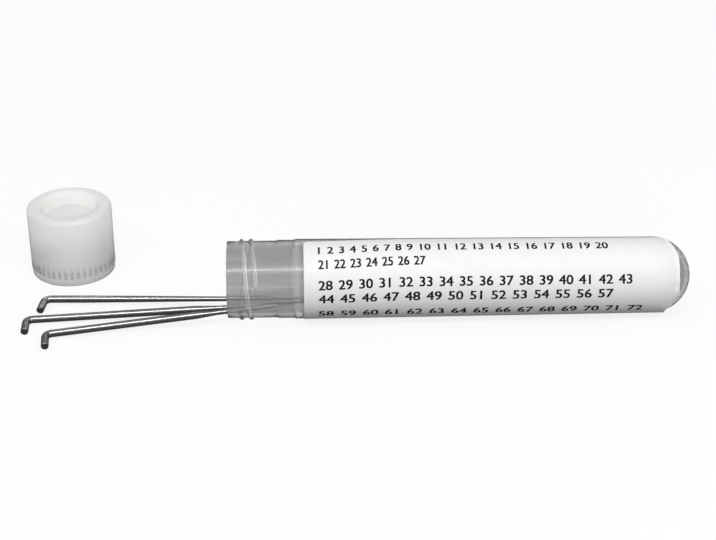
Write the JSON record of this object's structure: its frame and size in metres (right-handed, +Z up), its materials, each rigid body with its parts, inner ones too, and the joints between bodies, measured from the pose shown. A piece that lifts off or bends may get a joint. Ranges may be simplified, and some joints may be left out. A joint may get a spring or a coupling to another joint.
{
  "type": "felting needle set",
  "caption": "Cranked felting needles half drawn out of a clear round-ended storage tube with a label, its screw cap standing beside it.",
  "frame": {"origin": "on the table, under the middle of the set's bounding box", "axes": "+X along the tube from its mouth to its round end, seen from above; +Y from the needles to the cap; +Z up"},
  "size_m": [0.1634, 0.0518, 0.0196],
  "materials": {
    "clear_plastic": "glossy, clear, faintly grey",
    "label_paper": "matt white paper",
    "cap_plastic": "satin, milky translucent",
    "needle_steel": "bright plated steel, duller on the cranks"
  },
  "bodies": {
    "tube": {"vial_tube": "clear_plastic", "tube_label": "label_paper"},
    "cap": {"screw_cap": "cap_plastic"},
    "needle_1": {"felting_needle_1": "needle_steel"},
    "needle_2": {"felting_needle_2": "needle_steel"},
    "needle_3": {"felting_needle_3": "needle_steel"}
  },
  "joints": [
    {"name": "cap_lift", "type": "slide", "parent": "tube", "child": "cap", "axis": [0, 0, 1], "range_m": [0, 0.04]},
    {"name": "needle_1_draw", "type": "slide", "parent": "tube", "child": "needle_1", "axis": [-0.9945, 0.1045, 0], "range_m": [0, 0.05]},
    {"name": "needle_2_draw", "type": "slide", "parent": "tube", "child": "needle_2", "axis": [-0.999, -0.0454, 0], "range_m": [0, 0.05]},
    {"name": "needle_3_draw", "type": "slide", "parent": "tube", "child": "needle_3", "axis": [-0.9947, -0.1028, 0], "range_m": [0, 0.05]}
  ]
}
